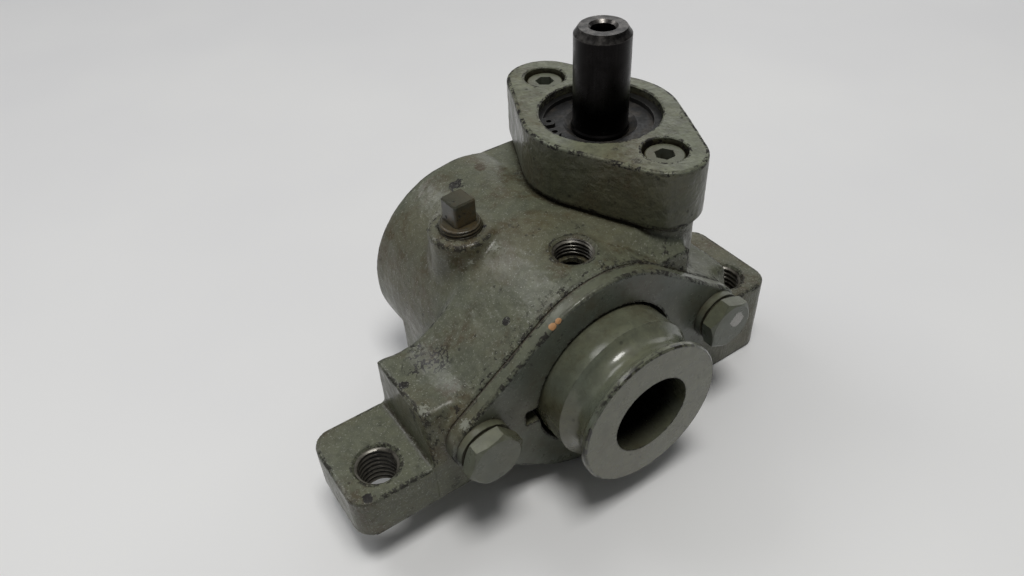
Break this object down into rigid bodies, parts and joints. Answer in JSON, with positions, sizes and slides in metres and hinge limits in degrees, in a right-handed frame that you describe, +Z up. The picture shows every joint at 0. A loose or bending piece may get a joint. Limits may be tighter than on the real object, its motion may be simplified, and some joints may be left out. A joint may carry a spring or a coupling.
{
  "type": "worm gearbox",
  "caption": "Compact worm gearbox: cast housing with drilled side feet, grooved output hub with a blind bore, vertical input shaft in a bolted rhombic flange.",
  "frame": {"origin": "centre of the output bore's mouth, on the output hub's front face", "axes": "+Y runs along the output axis into the housing, +Z up along the input shaft, +X to the right seen from the hub, towards the input shaft's side"},
  "size_m": [0.1737, 0.1208, 0.1278],
  "materials": {
    "housing_paint": "grey-green machine enamel over cast iron, satin, chipped",
    "cover_paint": "grey-green machine enamel, satin",
    "hub_paint": "grey-green machine enamel over turned steel, semi-gloss",
    "bolt_paint": "grey-green machine enamel over steel fasteners",
    "washer_steel": "overpainted spring steel",
    "screw_paint": "overpainted socket screws",
    "plug_steel": "stained, partly painted steel",
    "shaft_steel": "black oiled steel, bright worn edge",
    "ring_steel": "phosphated spring steel",
    "bearing_steel": "ground bearing steel",
    "cage_steel": "pressed steel",
    "key_steel": "bright drawn steel",
    "seal_rubber": "black nitrile",
    "gasket_fibre": "dark oiled fibre",
    "wheel_bronze": "cut bronze"
  },
  "bodies": {
    "casing": {"housing": "housing_paint", "front_cover": "cover_paint", "cover_gasket": "gasket_fibre", "cover_bolts": "bolt_paint", "lock_washers": "washer_steel", "input_flange": "housing_paint", "flange_gasket": "gasket_fibre", "flange_screws": "screw_paint", "input_retaining_ring": "ring_steel", "input_seal": "seal_rubber", "output_seal": "seal_rubber", "filler_plug": "plug_steel", "bottom_cap": "housing_paint", "upper_bearing_outer_ring": "bearing_steel", "lower_bearing_outer_ring": "bearing_steel", "front_bearing_outer_ring": "bearing_steel", "rear_bearing_outer_ring": "bearing_steel"},
    "output": {"output_hub": "hub_paint", "worm_wheel": "wheel_bronze", "wheel_key": "key_steel", "wheel_spacer": "key_steel", "wheel_retaining_ring": "ring_steel", "rear_retaining_ring": "ring_steel", "front_bearing_inner_ring": "bearing_steel", "rear_bearing_inner_ring": "bearing_steel"},
    "input": {"worm_shaft": "shaft_steel", "upper_bearing_inner_ring": "bearing_steel", "lower_bearing_inner_ring": "bearing_steel"},
    "front_rollers": {"front_bearing_balls": "bearing_steel", "front_bearing_cage": "cage_steel"},
    "rear_rollers": {"rear_bearing_balls": "bearing_steel", "rear_bearing_cage": "cage_steel"},
    "upper_rollers": {"upper_bearing_balls": "bearing_steel", "upper_bearing_cage": "cage_steel"},
    "lower_rollers": {"lower_bearing_balls": "bearing_steel", "lower_bearing_cage": "cage_steel"}
  },
  "joints": [
    {"name": "output_turn", "type": "hinge", "parent": "casing", "child": "output", "pos_m": [0, 0, 0], "axis": [0, 1, 0], "continuous": true},
    {"name": "input_turn", "type": "hinge", "parent": "casing", "child": "input", "pos_m": [0.0385, 0.075, 0], "axis": [0, 0, 1], "continuous": true},
    {"name": "front_rollers_turn", "type": "hinge", "parent": "casing", "child": "front_rollers", "pos_m": [0, 0, 0], "axis": [0, 1, 0], "continuous": true},
    {"name": "rear_rollers_turn", "type": "hinge", "parent": "casing", "child": "rear_rollers", "pos_m": [0, 0, 0], "axis": [0, 1, 0], "continuous": true},
    {"name": "upper_rollers_turn", "type": "hinge", "parent": "casing", "child": "upper_rollers", "pos_m": [0.0385, 0.075, 0], "axis": [0, 0, 1], "continuous": true},
    {"name": "lower_rollers_turn", "type": "hinge", "parent": "casing", "child": "lower_rollers", "pos_m": [0.0385, 0.075, 0], "axis": [0, 0, 1], "continuous": true}
  ],
  "couplings": [
    {"joint": "input_turn", "follows": "output_turn", "ratio": 20},
    {"joint": "front_rollers_turn", "follows": "output_turn", "ratio": 0.4631},
    {"joint": "rear_rollers_turn", "follows": "output_turn", "ratio": 0.4377},
    {"joint": "upper_rollers_turn", "follows": "output_turn", "ratio": 7.9355},
    {"joint": "lower_rollers_turn", "follows": "output_turn", "ratio": 7.8}
  ]
}
